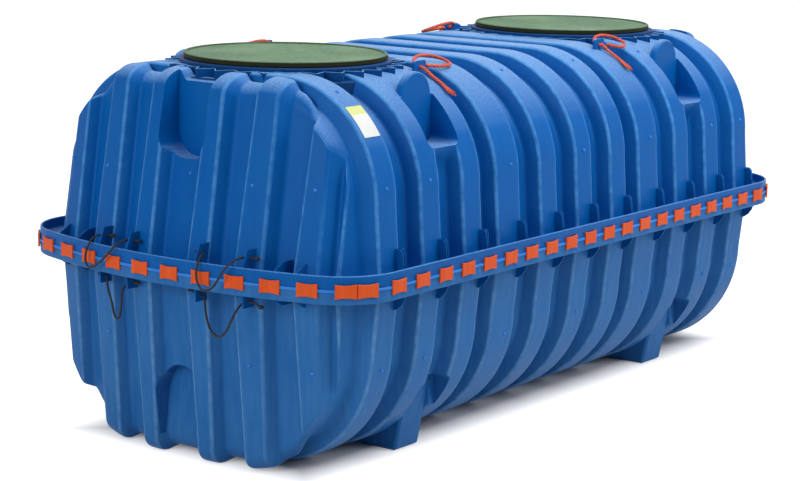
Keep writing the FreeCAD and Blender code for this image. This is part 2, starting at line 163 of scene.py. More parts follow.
def rangeNode(tree, value, low, high, toLow=0.0, toHigh=1.0):
    inputs = {"Value": value, "From Min": low, "From Max": high, "To Min": toLow, "To Max": toHigh}
    return newNode(tree, "MapRange", inputs).outputs["Result"]


def mixNode(tree, share, first, second):
    return newNode(tree, "Mix", {0: share, 6: first, 7: second}, data_type="RGBA").outputs[2]


def mathNode(tree, operation, first, second):
    return newNode(tree, "Math", {0: first, 1: second}, operation=operation).outputs[0]


def attributeNode(tree, name):
    return newNode(tree, "Attribute", {}, attribute_name=name).outputs["Fac"]


def bumpNode(tree, height, strength, distance):
    inputs = {"Height": height, "Strength": strength, "Distance": distance}
    return newNode(tree, "Bump", inputs).outputs["Normal"]


# fine moulded grain with broad waviness, as a height
grain, vector, sink = newGroup("mouldGrain", ("Height",))
fine = mathNode(grain, "MULTIPLY", noiseNode(grain, vector, 420, 3), 0.25)
broad = mathNode(grain, "MULTIPLY", noiseNode(grain, vector, 9, 2), 0.9)
feed(grain, sink, {"Height": mathNode(grain, "ADD", fine, broad)})

# dust, chalky streaks down the walls and small scuffs, as masks
wear, vector, sink = newGroup("wear", ("Streak", "Dust", "Scuff"))
streak = noiseNode(wear, vector, 16, 5, 0.6, (3.0, 3.0, 0.22))
cloud = noiseNode(wear, vector, 3.2, 5, 0.62)
scuff = noiseNode(wear, vector, 60, 6, 0.7, (1.0, 1.0, 0.35))
feed(wear, sink, {"Streak": rangeNode(wear, streak, 0.42, 0.68), "Dust": rangeNode(wear, cloud, 0.40, 0.70),
                  "Scuff": rangeNode(wear, scuff, 0.62, 0.70)})


def newMaterial(name):
    material = bpy.data.materials.new(name)
    material.use_nodes = True
    tree = material.node_tree
    vector = newNode(tree, "TexCoord", {}).outputs["Object"]
    return material, tree, tree.nodes["Principled BSDF"], vector


# what every moulded plastic here has in common
plastic = dict(specular=0.09, grainDepth=0.003, topLightFrom=0.45, topLightMost=0.8, speckScale=190, wallFrom=0.3,
               wallTo=0.8, highlightScale=30, highlightLeast=0.20, highlightMost=0.60, roughBelow=0.05, roughAbove=0.10)


def mouldedPlastic(name, colour, chalk, rough, dust, streaks=0.10, scuffs=0.10, bump=0.14,
                   topLight=None, wall=None, edge=None):
    # topLight paints light on what faces up, wall colours what doesn't, edge paints highlights on bent edges
    material, tree, shader, vector = newMaterial(name)
    masks = newNode(tree, "Group", {"Vector": vector}, node_tree=wear).outputs
    tone = (*colour, 1)
    for label, amount in (("Streak", streaks), ("Dust", dust), ("Scuff", scuffs)):
        tone = mixNode(tree, mathNode(tree, "MULTIPLY", masks[label], amount), tone, (*chalk, 1))
    # painted top light: lighter, in specks, where the surface faces up
    if topLight:
        specks = noiseNode(tree, vector, plastic["speckScale"], 4, 0.65)
        speck = rangeNode(tree, specks, 0.38, 0.66, 0.45, 1.25)
        upward = attributeNode(tree, "facingUp")
        upward = rangeNode(tree, upward, plastic["topLightFrom"], 1.0, 0.0, plastic["topLightMost"])
        tone = mixNode(tree, mathNode(tree, "MULTIPLY", upward, speck), tone, (*topLight, 1))
    if wall:
        upward = rangeNode(tree, attributeNode(tree, "facingUp"), plastic["wallFrom"], plastic["wallTo"])
        tone = mixNode(tree, upward, (*wall, 1), tone)
    # painted highlights along the edges that bend out, broken into patches
    if edge:
        patches = noiseNode(tree, vector, plastic["highlightScale"], 4)
        edgeHighlight = rangeNode(tree, patches, 0.30, 0.65, plastic["highlightLeast"], plastic["highlightMost"])
        edgeHighlight = mathNode(tree, "MULTIPLY", attributeNode(tree, "edgeLight"), edgeHighlight)
        tone = mixNode(tree, edgeHighlight, tone, (*edge, 1))
    smoothest, roughest = rough - plastic["roughBelow"], rough + plastic["roughAbove"]
    height = newNode(tree, "Group", {"Vector": vector}, node_tree=grain).outputs["Height"]
    feed(tree, shader, {"Base Color": tone, "Specular IOR Level": plastic["specular"],
                        "Roughness": rangeNode(tree, masks["Dust"], 0, 1, smoothest, roughest),
                        "Normal": bumpNode(tree, height, bump, plastic["grainDepth"])})
    return material


upperBlue = mouldedPlastic("upperBlue", colour=(0.000278, 0.0917, 0.354), chalk=(0.00278, 0.139, 0.458),
                           rough=0.42, dust=0.20, streaks=0.15, scuffs=0.15,
                           topLight=(0.190, 0.370, 0.660), edge=(0.097, 0.333, 0.694))
# paler and greyer than the upper blue: painted bounce light and reflection from the floor
lowerBlue = mouldedPlastic("lowerBlue", colour=(0.0139, 0.122, 0.364), chalk=(0.0833, 0.236, 0.500),
                           rough=0.48, dust=0.20, streaks=0.18, scuffs=0.12,
                           topLight=(0.0833, 0.236, 0.500), edge=(0.139, 0.319, 0.583))
# darker than the upper blue: painted shade on the fins and gussets in the flange channel
shadedFinBlue = mouldedPlastic("shadedFinBlue", colour=(0.0005, 0.080, 0.305), chalk=(0.00556, 0.111, 0.361),
                         rough=0.46, dust=0.15)
# very dark: painted shade of the lids' overhang on the turret walls
shadedTurretBlue = mouldedPlastic("shadedTurretBlue", colour=(0.000417, 0.0361, 0.139), chalk=(0.0139, 0.0833, 0.250),
                            rough=0.50, dust=0.20)
lidGreen = mouldedPlastic("lidGreen", colour=(0.0694, 0.144, 0.0806), chalk=(0.215, 0.326, 0.208),
                          rough=0.62, dust=0.75, streaks=0.35, scuffs=0.30, bump=0.35,
                          wall=(0.0194, 0.0208, 0.00972))
clipOrange = mouldedPlastic("clipOrange", colour=(0.653, 0.075, 0.0111), chalk=(0.833, 0.208, 0.0833),
                            rough=0.40, dust=0.15, streaks=0.20, scuffs=0.15, bump=0.20)
# light tops as a painted highlight, dark sides as painted shade under the lids
webLitShadedBlue = mouldedPlastic("webLitShadedBlue", colour=(0.139, 0.375, 0.778), chalk=(0.250, 0.500, 0.850),
                         rough=0.45, dust=0.20, wall=(0.000556, 0.0556, 0.215))
pipBlue = mouldedPlastic("pipBlue", colour=(0.0278, 0.194, 0.639), chalk=(0.167, 0.389, 0.833),
                         rough=0.35, dust=0.1, bump=0.1)


def ropeFibre(name, colour, dark, scale):
    # bands of strands across the rope, fuzzed by fine fibres
    material, tree, shader, vector = newMaterial(name)
    inputs = {"Vector": vector, "Scale": scale, "Distortion": 2.5}
    wave = newNode(tree, "TexWave", inputs, bands_direction="DIAGONAL").outputs["Fac"]
    fuzz = mathNode(tree, "MULTIPLY", noiseNode(tree, vector, 900, 3), 0.35)
    tone = mixNode(tree, wave, (*dark, 1), (*colour, 1))
    feed(tree, shader, {"Base Color": mixNode(tree, fuzz, tone, (*dark, 1)), "Roughness": 0.8,
                        "Normal": bumpNode(tree, wave, 0.7, 0.002)})
    return material


blackRope = ropeFibre("blackRope", colour=(0.008, 0.008, 0.011), dark=(0.002, 0.002, 0.003), scale=60)
orangeRope = ropeFibre("orangeRope", colour=(0.720, 0.130, 0.070), dark=(0.480, 0.050, 0.022), scale=45)
print("materials made")

# ropes, each along its CAD route
ropes = dict(
    black_rope_left_upper=dict(length=0.452, points=(
        (-1.535, 0.264, 0.766), (-1.537, 0.302, 0.767), (-1.576, 0.316, 0.765), (-1.605, 0.323, 0.728),
        (-1.609, 0.330, 0.684), (-1.611, 0.311, 0.654), (-1.615, 0.264, 0.674), (-1.619, 0.220, 0.708),
        (-1.615, 0.186, 0.746), (-1.586, 0.166, 0.769), (-1.553, 0.158, 0.768), (-1.552, 0.126, 0.767))),
    black_rope_left_lower=dict(length=0.407, points=(
        (-1.544, 0.317, 0.623), (-1.547, 0.276, 0.621), (-1.580, 0.252, 0.610), (-1.598, 0.226, 0.584),
        (-1.602, 0.207, 0.552), (-1.604, 0.197, 0.516), (-1.604, 0.188, 0.494), (-1.604, 0.172, 0.493),
        (-1.604, 0.163, 0.514), (-1.602, 0.160, 0.552), (-1.594, 0.168, 0.592), (-1.564, 0.160, 0.620),
        (-1.561, 0.122, 0.622))),
    black_rope_right_upper=dict(length=0.463, points=(
        (-1.549, -0.146, 0.765), (-1.551, -0.182, 0.766), (-1.590, -0.196, 0.763), (-1.619, -0.202, 0.728),
        (-1.624, -0.208, 0.682), (-1.624, -0.234, 0.650), (-1.624, -0.276, 0.664), (-1.622, -0.304, 0.702),
        (-1.610, -0.324, 0.744), (-1.570, -0.342, 0.770), (-1.527, -0.350, 0.769), (-1.525, -0.390, 0.768))),
    black_rope_right_lower=dict(length=0.481, points=(
        (-1.548, -0.113, 0.628), (-1.560, -0.150, 0.622), (-1.562, -0.190, 0.621), (-1.586, -0.212, 0.598),
        (-1.596, -0.228, 0.556), (-1.600, -0.250, 0.514), (-1.600, -0.286, 0.494), (-1.598, -0.316, 0.516),
        (-1.590, -0.334, 0.560), (-1.572, -0.344, 0.600), (-1.540, -0.350, 0.621), (-1.536, -0.388, 0.622),
        (-1.540, -0.422, 0.610))),
    orange_rope_near_left=dict(length=0.606, points=(
        (-0.680, -0.553, 1.278), (-0.684, -0.518, 1.303), (-0.688, -0.482, 1.324), (-0.690, -0.450, 1.350),
        (-0.689, -0.408, 1.354), (-0.664, -0.384, 1.372), (-0.620, -0.368, 1.380), (-0.565, -0.358, 1.379),
        (-0.512, -0.360, 1.373), (-0.478, -0.380, 1.360), (-0.476, -0.412, 1.348), (-0.508, -0.434, 1.344),
        (-0.556, -0.441, 1.345), (-0.604, -0.438, 1.347), (-0.644, -0.428, 1.352))),
    orange_rope_near_right=dict(length=0.504, points=(
        (0.530, -0.553, 1.278), (0.526, -0.518, 1.303), (0.522, -0.482, 1.324), (0.520, -0.450, 1.350),
        (0.521, -0.408, 1.354), (0.546, -0.392, 1.372), (0.590, -0.386, 1.380), (0.632, -0.392, 1.378),
        (0.668, -0.404, 1.370), (0.692, -0.426, 1.358), (0.686, -0.454, 1.345), (0.654, -0.466, 1.335),
        (0.612, -0.462, 1.338), (0.576, -0.442, 1.346))))
for near, far in (("near_left", "far_right"), ("near_right", "far_left")):
    rope = ropes["orange_rope_" + near]
    ropes["orange_rope_" + far] = dict(rope, points=tuple((-x, -y, z) for x, y, z in rope["points"]))
ropeKinds = dict(black=dict(diameter=0.008, knotSize=0.008, material=blackRope, lay="hanging"),
                 orange=dict(diameter=0.012, knotSize=0.009, material=orangeRope, lay="loose"))
knot = dict(turns=((0, 0.3), (70, -0.9), (140, 0.8)), shape=(1.25, 0.62, 0.95, 1))
fray = dict(length=0.042, root=0.012, strands=((-0.30, 0.034), (-0.06, 0.046), (0.14, 0.040), (0.34, 0.030)),
            thick=0.0048, thin=0.0030)


def knotBall(bm, place, size):
    # a pulled overhand knot: a few fat turns of the rope
    for turn, tip in knot["turns"]:
        spin = Matrix.Rotation(radians(turn), 4, "Z") @ Matrix.Rotation(tip, 4, "X")
        matrix = Matrix.Translation(place) @ spin @ Matrix.Diagonal(knot["shape"])
        bmesh.ops.create_uvsphere(bm, u_segments=14, v_segments=9, radius=size, matrix=matrix)


def frayedEnd(bm, end, before):
    # loose strands that fan out from a cut rope end
    along = (end - before).normalized()
    aside = along.cross(Vector((0, 0, 1))).normalized()
    for spread, reach in fray["strands"]:
        strand = (along + aside * spread).normalized()
        turn = strand.to_track_quat("Z", "Y").to_matrix().to_4x4()
        middle = before + along * fray["root"] + strand * (reach / 2 + fray["root"])
        bmesh.ops.create_cone(bm, cap_ends=True, segments=8, radius1=fray["thick"], radius2=fray["thin"],
                              depth=reach + 2 * fray["root"], matrix=Matrix.Translation(middle) @ turn)


def makeRope(node, rope):
    colour = node.split("_")[0]
    kind, slot = ropeKinds[colour], colour + "_rope"
    curve = bpy.data.curves.new(node, "CURVE")
    curve.dimensions = "3D"
    curve.resolution_u = 10
    spline = curve.splines.new("NURBS")
    spline.points.add(len(rope["points"]) - 1)
    for point, place in zip(spline.points, rope["points"]):
        point.co = (*place, 1)
    spline.order_u = 3
    spline.use_endpoint_u = True
    curve.materials.append(kind["material"])
    obj = link(bpy.data.objects.new(node.replace("_", " ").title().replace(" ", ""), curve))
    # the line that the rope takes, read before it gets its thickness
    line = bpy.data.meshes.new_from_object(obj)
    path = [vertex.co.copy() for vertex in line.vertices]
    bpy.data.meshes.remove(line)
    curve.bevel_depth = kind["diameter"] / 2
    curve.bevel_resolution = 4
    curve.use_fill_caps = True
    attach(obj, "root")
    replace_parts(obj, node)
    knots = bmesh.new()
    tied = path[0]
    if colour == "orange":
        # a loop, tied where its end comes back to its start, with the start frayed
        tied = min(path[len(path) // 5:len(path) // 2], key=lambda place: (place - path[-1]).length)
        frayedEnd(knots, path[0], next(place for place in path if (place - path[0]).length > fray["length"]))
    for place in (tied, path[-1]):
        knotBall(knots, place, kind["knotSize"])
    knotPiece = finishMesh(knots, node + "Knots", kind["material"], slot=slot)
    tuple(rope["points"][0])


for node, rope in ropes.items():
    makeRope(node, rope)
print("ropes made", len(ropes))

# the moulding both halves share
mould = dict(flangeReach=0.057, ribDepth=0.060, ribPitch=0.246, ribCount=11, crestHalf=0.056, flankRun=0.019,
             edgeRadius=0.015, broadRibs=(3, 7), broadExtra=0.038, bowRadius=2.010, cornerRadius=0.180,
             endDepth=0.050, endFlank=0.022, endRibs=((0.130, 0.045), (0.337, 0.054), (0.548, 0.044)),
             endTaper=0.012, endMargin=0.012, patchY=0.636, outerY=(0.42, 0.50), outerCut=0.75,
             shallowFrom=0.60, shallowCut=0.5, crestShares=(0.2, 0.35, 0.5, 0.65, 0.8), cornerSteps=6,
             valleySteps=4, wallSteps=30, rollSteps=10, rollGap=0.004, sharpAngle=radians(38))
sideHalf = flangeY - mould["flangeReach"]
endHalf = flangeX - mould["flangeReach"]
bowCentre = endHalf - mould["bowRadius"]
cornerY = sideHalf - mould["cornerRadius"]
cornerX = bowCentre + sqrt((mould["bowRadius"] - mould["cornerRadius"]) ** 2 - cornerY ** 2)
cornerTurn = atan2(cornerY, cornerX - bowCentre)
ribMiddles = evenly(mould["ribCount"], mould["ribPitch"])
barrelEnd = ribMiddles[-1] + mould["crestHalf"] + mould["flankRun"] + mould["endMargin"]

upperHalf = dict(name="upperHalf", up=1, arcStart=shoulderZ - seamZ, arcRadius=0.405, wallDraft=0.020,
                 endLean=0.167, rollHeight=0.070, rollDepth=0.120, topShare=0.55, lip=0.051)
lowerHalf = dict(name="lowerHalf", up=-1, arcStart=0.230, arcRadius=0.460, wallDraft=0.025,
                 endLean=0.080, rollHeight=0.055, rollDepth=0.060, topShare=0.35, lip=0.046)
for half in (upperHalf, lowerHalf):
    half["arcY"] = sideHalf - half["wallDraft"] - half["arcRadius"]

# pockets: one over and one under each side's quarters, one high and one low in each end
pocket = dict(x=0.861, floor=1.105, frontHalf=0.088, backHalf=0.094, front=0.720, back=0.545, footBack=0.580,
              round=0.030, top=1.6, outside=1.7, flatArea=0.008,
              fillX=(0.080, 0.110), fillY=(0.25, 0.32), fillRise=(0.36, 0.42),
              hoodHalf=0.0875, hoodTop=1.356, hoodLow=1.150, hoodBack=0.515, hoodShift=0.0003,
              hoodRound=0.006, endHalf=0.105, endFloor=1.056, endRound=0.085, endBack=1.367,
              lowBack=1.418, lowFoot=1.452, lowTop=0.33, lowRise=0.26,
              lowOutline=((0.090, 0.070), (0.092, 0.235), (0.085, 0.272), (0.068, 0.302), (0.045, 0.321),
                          (0.018, 0.330)))


def ribEdge(flankRun, depth, radius, steps=4):
    # (out from the crest's corner, depth) round the crest edge, down the flank and round the valley edge
    lean = atan2(depth, flankRun)
    reach = radius * tan(lean / 2)
    crest = [(radius * sin(turn) - reach, radius * (1 - cos(turn))) for turn in spread(0, lean, steps)]
    return crest + [(flankRun - out, depth - deep) for out, deep in reversed(crest)]


def ribStations(crests, flankRun, depth, low, high):
    # sorted (place, depth) pairs from low to high over the given crests
    edge = ribEdge(flankRun, depth, mould["edgeRadius"])
    steps = mould["valleySteps"]
    stations = []
    last = low
    for start, finish in crests:
        foot = start - edge[-1][0]
        stations += [(place, depth) for place in spread(last, foot, steps)[:-1]]
        stations += [(start - out, deep) for out, deep in reversed(edge)]
        stations += [(start + (finish - start) * share, 0.0) for share in mould["crestShares"]]
        stations += [(finish + out, deep) for out, deep in edge]
        last = finish + edge[-1][0]
    return stations + [(place, depth) for place in spread(last, high, steps)[1:]]


def bowX(y, grow):
    # the plan's reach at one place across: the bow, then the round corner
    bow = mould["bowRadius"] + grow
    if abs(y) <= bow * sin(cornerTurn):
        return bowCentre + sqrt(bow * bow - y * y)
    corner = mould["cornerRadius"] + grow
    return cornerX + sqrt(max(corner * corner - (abs(y) - cornerY) ** 2, 0))


def archTop(half, y, inset):
    # height of the section from the seam at one place across, set in from the crests
    radius = half["arcRadius"] - inset
    across = max(abs(y) - half["arcY"], 0)
    return half["arcStart"] + sqrt(max(radius * radius - across * across, 0))


def archPoint(half, row, inset):
    # (across, height from the seam) of one row on a half's section
    kind, value, side = row
    if kind == "wall":
        return side * (sideHalf - half["wallDraft"] * value / half["arcStart"] - inset), value
    radius = half["arcRadius"] - inset
    if kind == "arc":
        return side * (half["arcY"] + radius * cos(value)), half["arcStart"] + radius * sin(value)
    return value, half["arcStart"] + radius


def barrelCrests():
    crests = []
    for i, middle in enumerate(ribMiddles):
        extra = mould["broadExtra"] if i in mould["broadRibs"] else 0
        crests.append((middle - mould["crestHalf"] - extra, middle + mould["crestHalf"]))
    return crests


def endCrests(narrow):
    right = [(middle - half + narrow, middle + half - narrow) for middle, half in mould["endRibs"]]
    return [(-high, -low) for low, high in reversed(right)] + right


def makeHalf(half, material):
    depth = mould["ribDepth"]
    patchY = mould["patchY"]
    steps = mould["cornerSteps"]
    sideStations = ribStations(barrelCrests(), mould["flankRun"], depth, -barrelEnd, barrelEnd)
    # the end's ribs narrow from the seam to their tops
    lowStations, endStations = (
        ribStations(endCrests(narrow), mould["endFlank"], mould["endDepth"], -patchY, patchY)
        for narrow in (0, mould["endTaper"]))
    wallShares = spread(0, 1, mould["wallSteps"])
    rollShares = [sin(turn) for turn in spread(0, pi / 2, mould["rollSteps"])[1:]]

    def outerShare(y):
        return smoothStep(*mould["outerY"], abs(y))

    def rollHeight(y):
        return half["rollHeight"] * (1 - mould["outerCut"] * outerShare(y))

    patchRoll = rollHeight(patchY)
    patchWall = archTop(half, patchY, depth) - patchRoll
    heights = [patchWall * share for share in wallShares]
    heights += [patchWall + patchRoll * share for share in rollShares]

    def sideRow(height, side):
        if height <= half["arcStart"]:
            return ("wall", height, side)
        return ("arc", asin((height - half["arcStart"]) / (half["arcRadius"] - depth)), side)

    def topRow(y):
        if abs(y) <= half["arcY"]:
            return ("flat", y, 0)
        return ("arc", acos((abs(y) - half["arcY"]) / (half["arcRadius"] - depth)), copysign(1, y))

    rows = [sideRow(height, -1) for height in heights[:-1]]
    rows += [topRow(y) for y, deep in endStations]
    rows += [sideRow(height, 1) for height in reversed(heights[:-1])]

    def zOf(high):
        return seamZ + half["up"] * high

    def barrelPlace(i, j):
        x, inset = sideStations[i]
        if half["up"] > 0:
            # the valley round a shoulder pocket is filled up to the crests
            y, high = archPoint(half, rows[j], 0)
            beside = 1 - smoothStep(*pocket["fillX"], abs(abs(x) - pocket["x"]))
            inset *= 1 - beside * smoothStep(*pocket["fillRise"], high) * smoothStep(*pocket["fillY"], abs(y))
        y, high = archPoint(half, rows[j], inset)
        return Vector((x, y, zOf(high)))

    def endPoint(i, j):
        # up the leaning wall, over the roll, then in along the top to the barrel
        y, inset = endStations[i]
        outer = outerShare(y)
        # the outermost valleys are shallow, and all tops there lie at the barrel's valley
        deep = inset * (1 - mould["shallowCut"] * smoothStep(mould["shallowFrom"], patchY, abs(y)))
        topInset = inset * half["topShare"] * (1 - outer) + depth * outer
        wall = archTop(half, y, topInset) - rollHeight(y)
        across = lowStations[i][0] + (y - lowStations[i][0]) * min(j / (len(wallShares) - 1), 1)
        wallX = bowX(y, -deep) - half["endLean"] * wall
        roll = min(half["rollDepth"] * (1 - mould["outerCut"] * outer), wallX - barrelEnd - mould["rollGap"])
        if j < len(wallShares):
            high = wall * wallShares[j]
            return bowX(across, -deep) - half["endLean"] * high, across, high
        if j < len(heights):
            share = rollShares[j - len(wallShares)]
            x = wallX - roll * (1 - sqrt(max(1 - share * share, 0)))
            return x, y, wall + rollHeight(y) * share
        share = (j - len(heights) + 1) / steps
        x = barrelEnd + (wallX - roll - barrelEnd) * (1 - share)
        settled = topInset + (depth - topInset) * smoothStep(0, 1, share)
        return x, y, archTop(half, y, settled)

    bm = bmesh.new()
    wrapGrid(bm, len(sideStations), len(rows), barrelPlace)
    for end in (-1, 1):
        def endPlace(i, j):
            x, y, high = endPoint(i, j)
            return Vector((end * x, y, zOf(high)))

        wrapGrid(bm, len(endStations), len(heights) + steps, endPlace)
        for side in (-1, 1):
            def cornerPlace(i, j):
                turn = pi / 2 * i / steps
                x = endPoint(0, j)[0]
                y = archPoint(half, sideRow(heights[j], 1), depth)[0] if j < len(heights) - 1 else patchY
                return Vector((end * (barrelEnd + (x - barrelEnd) * sin(turn)),
                               side * (patchY + (y - patchY) * cos(turn)), zOf(heights[j])))

            wrapGrid(bm, steps + 1, len(heights), cornerPlace)

    bmesh.ops.remove_doubles(bm, verts=bm.verts, dist=1e-5)
    bmesh.ops.contextual_create(bm, geom=[edge for edge in bm.edges if edge.is_boundary])
    return finishMesh(bm, half["name"], material)


def carve(obj, cutter):
    # cuts the pockets out of a half and keeps the result as its own mesh
    tool = finishMesh(cutter, "cutter", upperBlue, False, None)
    modifier = obj.modifiers.new("pockets", "BOOLEAN")
    modifier.operation = "DIFFERENCE"
    modifier.solver = "EXACT"
    modifier.object = tool
    carved = bpy.data.meshes.new_from_object(obj.evaluated_get(bpy.context.evaluated_depsgraph_get()))
    obj.modifiers.clear()
    obj.data = carved
    bpy.data.objects.remove(tool)
    carved.set_sharp_from_angle(angle=mould["sharpAngle"])
    # the flat back and side walls take no shade from the rims
    for face in carved.polygons:
        face.use_smooth = face.area < pocket["flatArea"]


def loftBlock(bm, first, second):
    # closed block between two outlines with as many points each
    loops = [[bm.verts.new(point) for point in outline] for outline in (first, second)]
    faces = [bm.faces.new(loops[0]), bm.faces.new(list(reversed(loops[1])))]
    for i in range(len(first)):
        k = (i + 1) % len(first)
        faces.append(bm.faces.new((loops[0][i], loops[0][k], loops[1][k], loops[1][i])))
    bmesh.ops.recalc_face_normals(bm, faces=faces)


def troughOutline(half, floor, r):
    # (across, height) of an open trough with a rounded foot
    right = [(half - r + r * sin(turn), floor + r - r * cos(turn)) for turn in spread(0, pi / 2, 6)]
    right.append((half, pocket["top"]))
    return right + [(-u, z) for u, z in reversed(right)]


def sideTrough(cutter, sx, sy, back, up):
    # from the front in to the back wall, upside down under the seam
    loops = []
    for half, y in ((pocket["frontHalf"], pocket["front"]), (pocket["backHalf"], back)):
        outline = troughOutline(half, pocket["floor"], pocket["round"])
        loops.append([Vector((sx * pocket["x"] + u, sy * y, seamZ + up * (z - seamZ))) for u, z in outline])
    loftBlock(cutter, *loops)


def upperPockets():
    cutter = bmesh.new()
    end = troughOutline(pocket["endHalf"], pocket["endFloor"], pocket["endRound"])
    for sx in (-1, 1):
        for sy in (-1, 1):
            sideTrough(cutter, sx, sy, pocket["back"], 1)
        loftBlock(cutter, [Vector((sx * pocket["endBack"], y, z)) for y, z in end],
                  [Vector((sx * pocket["outside"], y, z)) for y, z in end])
    return cutter


def lowerPockets():
    cutter = bmesh.new()
    outline = list(pocket["lowOutline"]) + [(-y, z) for y, z in reversed(pocket["lowOutline"])]
    run = pocket["lowFoot"] - pocket["lowBack"]
    for sx in (-1, 1):
        # the back wall leans out towards the foot
        back = [Vector((sx * (pocket["lowBack"] + run * (pocket["lowTop"] - z) / pocket["lowRise"]), y, z))
                for y, z in outline]
        loftBlock(cutter, back, [Vector((sx * pocket["outside"], y, z)) for y, z in outline])
        for sy in (-1, 1):
            sideTrough(cutter, sx, sy, pocket["footBack"], -1)
    return cutter


def pocketHoods(bm):
    # the round-topped walls behind the shoulder pockets, out from the turrets
    half = pocket["hoodHalf"]
    arch = [(half * cos(turn), pocket["hoodTop"] - half + half * sin(turn))
            for turn in spread(0, pi, 20)]
    outline = [(half, pocket["hoodLow"])] + arch + [(-half, pocket["hoodLow"])]
    middle = (pocket["back"] + pocket["hoodBack"]) / 2 + pocket["hoodShift"]
    thickness = pocket["back"] - pocket["hoodBack"]
    for sx, sy in quarters:
        points = [Vector((sx * pocket["x"] + u, sy * middle, z)) for u, z in outline]
        plate(bm, points, Vector((0, 1, 0)), thickness, pocket["hoodRound"])


upper = makeHalf(upperHalf, upperBlue)
lower = makeHalf(lowerHalf, lowerBlue)
carve(upper, upperPockets())
carve(lower, lowerPockets())
hoods = bmesh.new()
pocketHoods(hoods)
finishMesh(hoods, "pocketHoods", upperBlue, False)
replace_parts(upper, "upper_near_side", "upper_far_side", "upper_near_shoulder", "upper_far_shoulder",
            "upper_roof", "upper_left_end", "upper_right_end")
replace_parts(lower, "lower_near_side", "lower_far_side", "lower_floor", "lower_left_end", "lower_right_end")
print("halves made")


def outwardPoint(x, y, radius, turn):
    return x + radius * cos(turn), y + radius * sin(turn), cos(turn), sin(turn)


def planStations():
    # (x, y, outward x, outward y) round the crest outline, anticlockwise
    right = [outwardPoint(cornerX, cornerY, mould["cornerRadius"], turn)
             for turn in spread(pi / 2, cornerTurn, 12)]
    right += [outwardPoint(bowCentre, 0, mould["bowRadius"], turn) for turn in spread(cornerTurn, 0, 24)[1:]]
    right += [(x, -y, nx, -ny) for x, y, nx, ny in reversed(right[:-1])]
    return right + [(-x, y, -nx, ny) for x, y, nx, ny in reversed(right)]


def sweepRing(bm, profile):
    # a closed profile of (out from the crests, height) carried round the plan
    plan = planStations()

    def place(i, j):
        x, y, nx, ny = plan[i % len(plan)]
        out, z = profile[j % len(profile)]
        return Vector((x + nx * out, y + ny * out, z))

    verts = wrapGrid(bm, len(plan) + 1, len(profile) + 1, place)
    bmesh.ops.remove_doubles(bm, verts=verts, dist=1e-6)


flange = dict(inner=-0.075, web=0.009, lipWall=0.008, round=0.003, gap=0.0004, toeIn=0.002, toeUp=0.004,
              fillet=0.006, beadIn=0.056, beadOut=0.0605, beadHalf=0.006, beadFace=0.6)


def makeFlange(name, half, material):
    reach, web, r, fillet = mould["flangeReach"], flange["web"], flange["round"], flange["fillet"]
    inner, gap, lip = flange["inner"], flange["gap"], half["lip"]
    inside = reach - flange["lipWall"]
    profile = [(inner, gap), (reach - flange["toeIn"], gap), (reach, flange["toeUp"]), (reach, lip - r),
               (reach - r, lip), (inside + r, lip), (inside, lip - r), (inside, web + fillet),
               (inside - fillet, web), (inner, web)]
    bm = bmesh.new()
    sweepRing(bm, [(out, seamZ + half["up"] * high) for out, high in profile])
    finishMesh(bm, name, material, sharp=mould["sharpAngle"])


makeFlange("upperFlange", upperHalf, upperBlue)
makeFlange("lowerFlange", lowerHalf, lowerBlue)
# the thin ridge that shows between the clips
root, face = flange["beadHalf"], flange["beadHalf"] * flange["beadFace"]
bm = bmesh.new()
sweepRing(bm, [(flange["beadIn"], seamZ - root), (flange["beadOut"], seamZ - face),
               (flange["beadOut"], seamZ + face), (flange["beadIn"], seamZ + root)])
finishMesh(bm, "seamBead", pipBlue)
print("flange made")

# fins and gussets in the flange channel
# a side pair is (past the rib's middle, share of the reach, share of the rib's depth)
fins = dict(thickness=0.006, base=0.008, sunk=0.020, endSunk=0.055, top=0.798, reach=0.036,
            sidePairs=((0.036, 1.0, 0.0), (0.060, 0.7, 0.5)), noseLow=0.012, noseHigh=0.022, noseDrop=0.010,
            gussetLow=0.585, gussetReach=0.048, ropePlaces=(0.290, 0.146, -0.170, -0.360),
            holeRadius=0.0052, upper=dict(tip=0.796, hole=0.767, out=0.022),
            lower=dict(tip=0.600, hole=0.6215, out=0.026),
            plainPlaces=(0.548, 0.430, -0.470, -0.548), plainRise=0.074, plainLip=0.045, plainNose=0.006)


def roundHole(x, z, radius, count):
    return [(x + radius * cos(tau * i / count), z + radius * sin(tau * i / count))
            for i in range(count)]


def holedPlate(bm, outline, hole, across, thickness):
    # a plate with one round hole, both given as points in its middle plane
    loops = []
    for points in (outline, hole):
        verts = [bm.verts.new(Vector(point) - across * (thickness / 2)) for point in points]
        loops += closedLoop(bm, verts)
    filled = bmesh.ops.triangle_fill(bm, use_beauty=True, use_dissolve=False, edges=loops)
    faces = [item for item in filled["geom"] if isinstance(item, bmesh.types.BMFace)]
    thicken(bm, faces, across * thickness, True)


def sideFins(bm, up):
    base = seamZ + up * fins["base"]
    for middle in ribMiddles:
        for offset, share, inward in fins["sidePairs"]:
            root = sideHalf - mould["ribDepth"] * inward - fins["sunk"]
            if up > 0:
                tip = sideHalf + fins["reach"] * share
                outline = [(root, base), (tip, base), (tip - fins["noseLow"], fins["top"] - fins["noseDrop"]),
                           (tip - fins["noseHigh"], fins["top"]), (root, fins["top"])]
            else:
                tip = sideHalf + fins["gussetReach"] * share
                drop = base - fins["gussetLow"]
                outline = [(root, base)]
                outline += [(root + (tip - root) * cos(turn), base - drop * sin(turn))
                            for turn in spread(0, pi / 2, 5)]
            for side in (-1, 1):
                points = [(middle + offset, side * y, z) for y, z in outline]
                plate(bm, points, Vector((1, 0, 0)), fins["thickness"])


def endOutline(y, up, lip, tip, nose):
    # (x, height) of a left end's fin, its tip that far past the bow's foot
    face = bowX(y, 0)
    root = face - fins["endSunk"]
    rim = bowX(y, mould["flangeReach"] - flange["lipWall"])
    base = seamZ + up * fins["base"]
    return [(-root, base), (-rim, base), (-rim, seamZ + up * lip), (-face - nose, tip), (-root, tip)]


